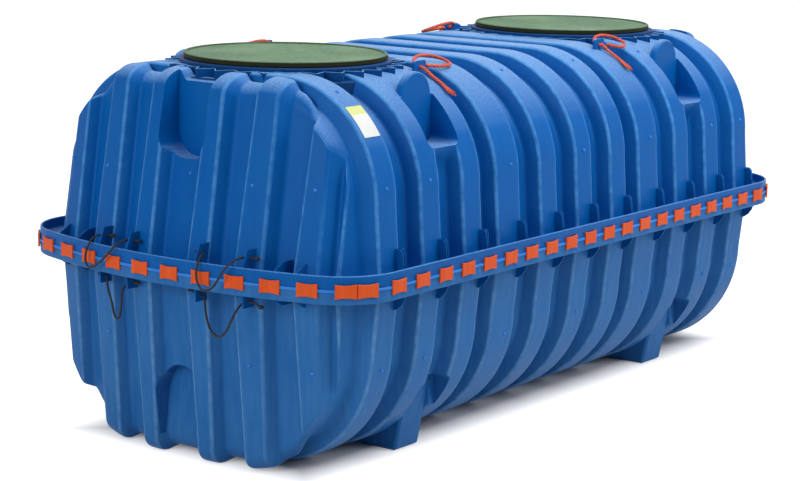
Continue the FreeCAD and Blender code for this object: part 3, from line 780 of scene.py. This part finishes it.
def endFins(bm, half, tip, hole, out):
    # the left end's ropes pass through the holed ones; the right end has the same plates
    up, lean, rise = half["up"], half["endLean"], fins["plainRise"]
    for y in fins["ropePlaces"]:
        outline = endOutline(y, up, half["lip"], tip, 2 * out - lean * abs(tip - seamZ))
        holeX = bowX(y, 0) - lean * abs(hole - seamZ) + out
        rim = roundHole(-holeX, hole, fins["holeRadius"], 16)
        for turn in (1, -1):
            loops = [[Vector((turn * x, turn * y, z)) for x, z in loop] for loop in (outline, rim)]
            holedPlate(bm, *loops, Vector((0, 1, 0)), fins["thickness"])
    for y in fins["plainPlaces"]:
        outline = endOutline(y, up, fins["plainLip"], seamZ + up * rise, fins["plainNose"] - lean * rise)
        for turn in (1, -1):
            points = [(turn * x, turn * y, z) for x, z in outline]
            plate(bm, points, Vector((0, 1, 0)), fins["thickness"])


for name, half, rope in (("upperFins", upperHalf, fins["upper"]), ("lowerFins", lowerHalf, fins["lower"])):
    bm = bmesh.new()
    sideFins(bm, half["up"])
    endFins(bm, half, **rope)
    finishMesh(bm, name, shadedFinBlue, False)

# plates on the shoulders that the orange ropes pass through
bracket = dict(places=(-0.690, 0.520), y=-0.430, half=0.035, round=0.014, thickness=0.010, low=1.290,
               top=1.374, hole=1.352, holeRadius=0.0072)
bm = bmesh.new()
for x in bracket["places"]:
    half, r = bracket["half"], bracket["round"]
    outline = [(x - half, bracket["low"]), (x + half, bracket["low"])]
    for centre, start in ((x + half - r, 0), (x - half + r, pi / 2)):
        outline += [(centre + r * cos(turn), bracket["top"] - r + r * sin(turn))
                    for turn in spread(start, start + pi / 2, 5)]
    hole = roundHole(x, bracket["hole"], bracket["holeRadius"], 18)
    for turn in (1, -1):
        y = turn * bracket["y"]
        loops = [[Vector((turn * px, y, pz)) for px, pz in loop] for loop in (outline, hole)]
        holedPlate(bm, *loops, Vector((0, 1, 0)), bracket["thickness"])
finishMesh(bm, "ropeBrackets", upperBlue, False)

# feet under the lower half
foot = dict(x=0.861, half=0.070, out=0.532, inner=0.330, topOut=0.583, low=0.001, top=0.258, round=0.008)
bm = bmesh.new()
section = [(foot["inner"], foot["low"]), (foot["out"], foot["low"]), (foot["topOut"], foot["top"]),
           (foot["inner"], foot["top"])]
for sx, sy in quarters:
    outline = [(sx * foot["x"], sy * y, z) for y, z in section]
    plate(bm, outline, Vector((1, 0, 0)), 2 * foot["half"], foot["round"])
finishMesh(bm, "feet", lowerBlue, False)
print("fins, brackets and feet made")


def spinRing(bm, profile, x, steps=96):
    # a closed (radius, height) profile turned about a turret's own axis
    verts = [bm.verts.new((x + radius, 0, z)) for radius, z in profile]
    bmesh.ops.spin(bm, geom=verts + closedLoop(bm, verts), cent=(x, 0, 0), axis=(0, 0, 1), dvec=(0, 0, 0),
                   angle=tau, steps=steps, use_merge=True, use_duplicate=False)


turret = dict(wall=0.385, seat=0.300, floor=1.240, plateTop=1.326, round=0.004, fillet=0.006, lidGap=0.0005,
              webCount=30, webTop=1.357, webThick=0.004, webSunk=0.002, webShort=0.006, webRound=0.0006,
              sharpAngle=radians(35))


def turretWebs(bm, x):
    # upright webs in a zigzag between the neck and the rim of the plate
    inner, outer = turret["wall"] - turret["webSunk"], turretRadius - turret["webShort"]
    low, top = turret["plateTop"] - turret["round"], turret["webTop"]
    corners = []
    for i in range(2 * turret["webCount"] + 1):
        turn = tau * (i / 2) / turret["webCount"]
        radius = outer if i % 2 else inner
        corners.append(Vector((x + radius * cos(turn), radius * sin(turn), 0)))
    for first, second in zip(corners, corners[1:]):
        across = (second - first).cross(Vector((0, 0, 1))).normalized()
        outline = [(*first.xy, low), (*second.xy, low), (*second.xy, top), (*first.xy, top)]
        plate(bm, outline, across, turret["webThick"], turret["webRound"])


webs = bmesh.new()
for sx, node in ((-1, "left_turret"), (1, "right_turret")):
    wall, seat, plateTop, r = turret["wall"], turret["seat"], turret["plateTop"], turret["round"]
    seatTop = lidSeat - turret["lidGap"]
    bm = bmesh.new()
    spinRing(bm, [(seat, turret["floor"]), (turretRadius, turret["floor"]), (turretRadius, plateTop - r),
                  (turretRadius - r, plateTop), (wall + turret["fillet"], plateTop),
                  (wall, plateTop + turret["fillet"]), (wall, lidSeat - r), (wall - r, seatTop),
                  (seat, seatTop)], sx * turretX)
    turretWebs(webs, sx * turretX)
    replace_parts(finishMesh(bm, node.replace("_", ""), shadedTurretBlue, sharp=turret["sharpAngle"]), node)

finishMesh(webs, "turretWebs", webLitShadedBlue, False)

lid = dict(rim=0.014, dish=0.005, round=0.003, hub=0.02, plug=0.0205, plugBore=0.001, plugLift=0.002,
           plugSteps=32)
for sx, node in ((-1, "left_lid"), (1, "right_lid")):
    r, hub, plug, bore = lid["round"], lid["hub"], lid["plug"], lid["plugBore"]
    dish, inside, plugLow = lidTop - lid["dish"], lidRadius - lid["rim"], lidSeat + lid["plugLift"]
    bm = bmesh.new()
    spinRing(bm, [(hub, lidSeat), (lidRadius - r, lidSeat), (lidRadius, lidSeat + r), (lidRadius, lidTop - r),
                  (lidRadius - r, lidTop), (inside + r, lidTop), (inside, dish), (hub, dish)], sx * turretX)
    spinRing(bm, [(plug, plugLow), (plug, dish), (bore, dish), (bore, plugLow)], sx * turretX,
             lid["plugSteps"])
    obj = finishMesh(bm, node.replace("_", ""), lidGreen, slot="green_lid", sharp=turret["sharpAngle"])
    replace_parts(obj, node)
print("turrets and lids made")

clip = dict(width=0.074, height=0.050, thick=0.0078, waist=0.004, gap=0.0002, round=0.0015, sideCount=20,
            sidePitch=0.1327, endCount=10, endPitch=0.1351, cornerGap=0.003, cornerLift=0.008)


def addClip(bm, place, outward):
    # a plate with hollowed long edges, flat against the flange
    along = Vector((0, 0, 1)).cross(outward).normalized()
    points = []
    for sign in (1, -1):
        for i in range(9):
            share = i / 4 - 1
            edge = clip["height"] / 2 - clip["waist"] * (1 - share * share)
            points.append((-sign * share * clip["width"] / 2, sign * edge))
    middle = Vector(place) + outward * (clip["thick"] / 2 + clip["gap"])
    outline = [middle + along * u + Vector((0, 0, v)) for u, v in points]
    plate(bm, outline, outward, clip["thick"], clip["round"])


def clipNode(name, places):
    bm = bmesh.new()
    for place, outward in places:
        addClip(bm, place, outward)
    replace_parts(finishMesh(bm, name.replace("_", ""), clipOrange, False, "orange_clip"), name)


def roundClip(x, y, radius, turn, sx, sy):
    # place and outward direction on an arc of the flange
    px, py, nx, ny = outwardPoint(x, y, radius, turn)
    return (sx * px, sy * py, seamZ), Vector((sx * nx, sy * ny, 0))


for name, sy in (("near_side_clips", -1), ("far_side_clips", 1)):
    clipNode(name, [((x, sy * (sideHalf + mould["flangeReach"]), seamZ), Vector((0, sy, 0)))
                    for x in evenly(clip["sideCount"], clip["sidePitch"])])
bowFace = mould["bowRadius"] + mould["flangeReach"]
bowTurns = [run / bowFace for run in evenly(clip["endCount"], clip["endPitch"])]
for name, sx in (("right_end_clips", 1), ("left_end_clips", -1)):
    clipNode(name, [roundClip(bowCentre, 0, bowFace, turn, sx, 1) for turn in bowTurns])
cornerFace = mould["cornerRadius"] + mould["flangeReach"]
cornerStep = (clip["width"] + clip["cornerGap"]) / 2 / (cornerFace + clip["cornerLift"])
cornerTurns = [(pi / 2 + cornerTurn) / 2 + step * cornerStep for step in (-1, 1)]
clipNode("corner_clips", [roundClip(cornerX, cornerY, cornerFace, turn, sx, sy)
                          for turn in cornerTurns for sx, sy in quarters])
print("clips made")

# ejector pips, each half sunk in its crest
pips = dict(radius=0.0065, crests=(-5, -4, -2, 0, 2, 4, 5), upperZ=1.005, lowerZ=0.380,
            shoulderCrests=(-5, -1, 1, 3), shoulderY=0.485,
            endUpper=((0.578, 0.998), (0.353, 0.998), (-0.020, 1.008), (-0.320, 1.002), (-0.550, 1.005)),
            endLower=((-0.040, 0.400), (-0.335, 0.388), (-0.565, 0.388), (0.320, 0.410)))


def arcY(half, z):
    return half["arcY"] + sqrt(half["arcRadius"] ** 2 - (abs(z - seamZ) - half["arcStart"]) ** 2)


def endDepthAt(y):
    # no depth on the nearest crest, the valley's beside it
    away, crestHalf = min((abs(abs(y) - middle), wide) for middle, wide in mould["endRibs"])
    return 0 if away < crestHalf else mould["endDepth"]


def addPip(bm, place):
    matrix = Matrix.Translation(place)
    bmesh.ops.create_uvsphere(bm, u_segments=12, v_segments=8, radius=pips["radius"], matrix=matrix)


bm = bmesh.new()
for side in (-1, 1):
    for k in pips["crests"]:
        for half, z in ((upperHalf, pips["upperZ"]), (lowerHalf, pips["lowerZ"])):
            addPip(bm, (k * mould["ribPitch"], side * arcY(half, z), z))
    for k in pips["shoulderCrests"]:
        z = seamZ + archTop(upperHalf, pips["shoulderY"], 0)
        addPip(bm, (k * mould["ribPitch"], side * pips["shoulderY"], z))
    for half, places in ((upperHalf, pips["endUpper"]), (lowerHalf, pips["endLower"])):
        for y, z in places:
            x = bowX(y, -endDepthAt(y)) - half["endLean"] * abs(z - seamZ)
            addPip(bm, (side * x, -side * y, z))
finishMesh(bm, "pips", pipBlue)

# a bare label on the first crest
label = dict(low=radians(33.4), high=radians(51.5), left=-1.271, right=-1.187, lift=0.0012,
             thickness=0.0008, band=1.243, bandBlur=0.001, columns=6, rows=12, paper=(0.66, 0.68, 0.67, 1),
             yellow=(0.58, 0.62, 0.17, 1), smudge=(0.52, 0.56, 0.56, 1))
labelPaper, tree, shader, vector = newMaterial("labelPaper")
labelZ = newNode(tree, "SeparateXYZ", {0: vector}).outputs["Z"]
banded = rangeNode(tree, labelZ, label["band"], label["band"] + label["bandBlur"])
tone = mixNode(tree, banded, label["paper"], label["yellow"])
smudge = rangeNode(tree, noiseNode(tree, vector, 45, 4), 0.35, 0.75, 0.0, 0.25)
feed(tree, shader, {"Base Color": mixNode(tree, smudge, tone, label["smudge"]), "Roughness": 0.55})


def labelPlace(i, j):
    turn = label["low"] + (label["high"] - label["low"]) * j / label["rows"]
    reach = upperHalf["arcRadius"] + label["lift"]
    x = label["left"] + (label["right"] - label["left"]) * i / label["columns"]
    return Vector((x, -upperHalf["arcY"] - reach * cos(turn), shoulderZ + reach * sin(turn)))


bm = bmesh.new()
wrapGrid(bm, label["columns"] + 1, label["rows"] + 1, labelPlace)
bmesh.ops.solidify(bm, geom=bm.faces, thickness=label["thickness"])
finishMesh(bm, "label", labelPaper, False)
print("pips and label made")

# how far each corner faces up and how sharply it bends out, for the materials' painted top light, shade and
# edge highlights
edgeLight = dict(shortest=0.003, bend=(25, 70), sharpest=0.8)
for obj in madePieces:
    facing = obj.data.attributes.new("facingUp", "FLOAT", "CORNER")
    facing.data.foreach_set("value", [corner.vector.z for corner in obj.data.corner_normals])
for obj in (upper, lower):
    verts = obj.data.vertices
    bend = [0.0] * len(verts)
    for edge in obj.data.edges:
        first, second = (verts[index] for index in edge.vertices)
        along = second.co - first.co
        if along.length > edgeLight["shortest"]:
            bend[first.index] = max(bend[first.index], -2 * first.normal.dot(along) / along.length_squared)
            bend[second.index] = max(bend[second.index], 2 * second.normal.dot(along) / along.length_squared)
    # light would spread from the cut rims over whole faces
    for face in obj.data.polygons:
        for index in face.vertices:
            if not face.use_smooth or verts[index].normal.dot(face.normal) < edgeLight["sharpest"]:
                bend[index] = 0.0
    rim = obj.data.attributes.new("edgeLight", "FLOAT", "POINT")
    rim.data.foreach_set("value", [smoothStep(*edgeLight["bend"], value) for value in bend])
print("shading attributes made for", len(madePieces), "pieces")

# camera at the photograph's own place
cameraPlace = dict(location=(-6.9811, -5.0485, 2.1806), azimuth=-53.3, elevation=10.61, roll=1.06,
                   focalPixels=2192.06, pictureWidth=800, sensor=36)
camera = bpy.data.cameras.new("camera")
camera.sensor_width = cameraPlace["sensor"]
camera.lens = cameraPlace["focalPixels"] * cameraPlace["sensor"] / cameraPlace["pictureWidth"]
camera.clip_end = 100
cameraObject = link(bpy.data.objects.new("camera", camera))
azimuth, elevation, roll = (radians(cameraPlace[key]) for key in ("azimuth", "elevation", "roll"))
aim = Matrix.Rotation(azimuth, 4, "Z") @ Matrix.Rotation(pi / 2 - elevation, 4, "X")
cameraObject.matrix_world = Matrix.Translation(cameraPlace["location"]) @ aim @ Matrix.Rotation(roll, 4, "Z")
scene.camera = cameraObject


def seenDirectly(tree):
    # 1 for the rays that show the background itself
    path = newNode(tree, "LightPath", {}).outputs
    seen = mathNode(tree, "MAXIMUM", path["Is Camera Ray"], path["Is Glossy Ray"])
    return mathNode(tree, "MAXIMUM", seen, path["Is Transmission Ray"])


# a white floor, whose own white stops short of the tank so that the shadow stays
ground = dict(size=30, tone=(0.70, 0.70, 0.70, 1), glow=0.72, darkX=1.32, darkY=0.42, fade=0.16)
floorWhite, tree, shader, vector = newMaterial("floorWhite")
place = newNode(tree, "SeparateXYZ", {0: vector}).outputs
away = {axis: mathNode(tree, "ABSOLUTE", place[axis], 0) for axis in ("X", "Y")}
beyond = [mathNode(tree, "SUBTRACT", away[axis], ground["dark" + axis]) for axis in ("X", "Y")]
glow = rangeNode(tree, mathNode(tree, "MAXIMUM", *beyond), 0.0, ground["fade"], 0.0, ground["glow"])
feed(tree, shader, {"Base Color": ground["tone"], "Roughness": 0.9, "Emission Color": (1, 1, 1, 1),
                    "Emission Strength": mathNode(tree, "MULTIPLY", seenDirectly(tree), glow)})
bm = bmesh.new()
bmesh.ops.create_grid(bm, x_segments=1, y_segments=1, size=ground["size"])
finishMesh(bm, "floor", floorWhite, False, None)

# soft light from overhead, dim towards the horizon, and plain white where it is seen
sky = dict(horizon=0.10, overhead=0.63, full=0.9)
world = bpy.data.worlds.new("studio")
scene.world = world
world.use_nodes = True
worldTree = world.node_tree
skyward = newNode(worldTree, "TexCoord", {}).outputs["Generated"]
skyZ = newNode(worldTree, "SeparateXYZ", {0: skyward}).outputs["Z"]
skyLight = rangeNode(worldTree, skyZ, 0.0, sky["full"], sky["horizon"], sky["overhead"])
strength = newNode(worldTree, "Mix", {0: seenDirectly(worldTree), 2: skyLight, 3: 1.0}).outputs[0]
feed(worldTree, worldTree.nodes["Background"], {"Color": (1, 1, 1, 1), "Strength": strength})

lamps = dict(
    overheadLight=dict(place=(0.6, -1.6, 5.0), target=(0, 0, 0.9), size=4.0, power=172),
    frontLight=dict(place=(1.5, -7.0, 4.5), target=(0, 0, 0.7), size=3.5, power=172),
    endLight=dict(place=(-8.0, 0.0, 3.5), target=(-1.4, 0, 0.8), size=3.5, power=210))
for name, setting in lamps.items():
    lamp = bpy.data.lights.new(name, "AREA")
    lamp.size = setting["size"]
    lamp.energy = setting["power"]
    obj = link(bpy.data.objects.new(name, lamp))
    obj.location = setting["place"]
    aim = Vector(setting["target"]) - Vector(setting["place"])
    obj.rotation_euler = aim.to_track_quat("-Z", "Y").to_euler()
print("camera, floor and lights set")
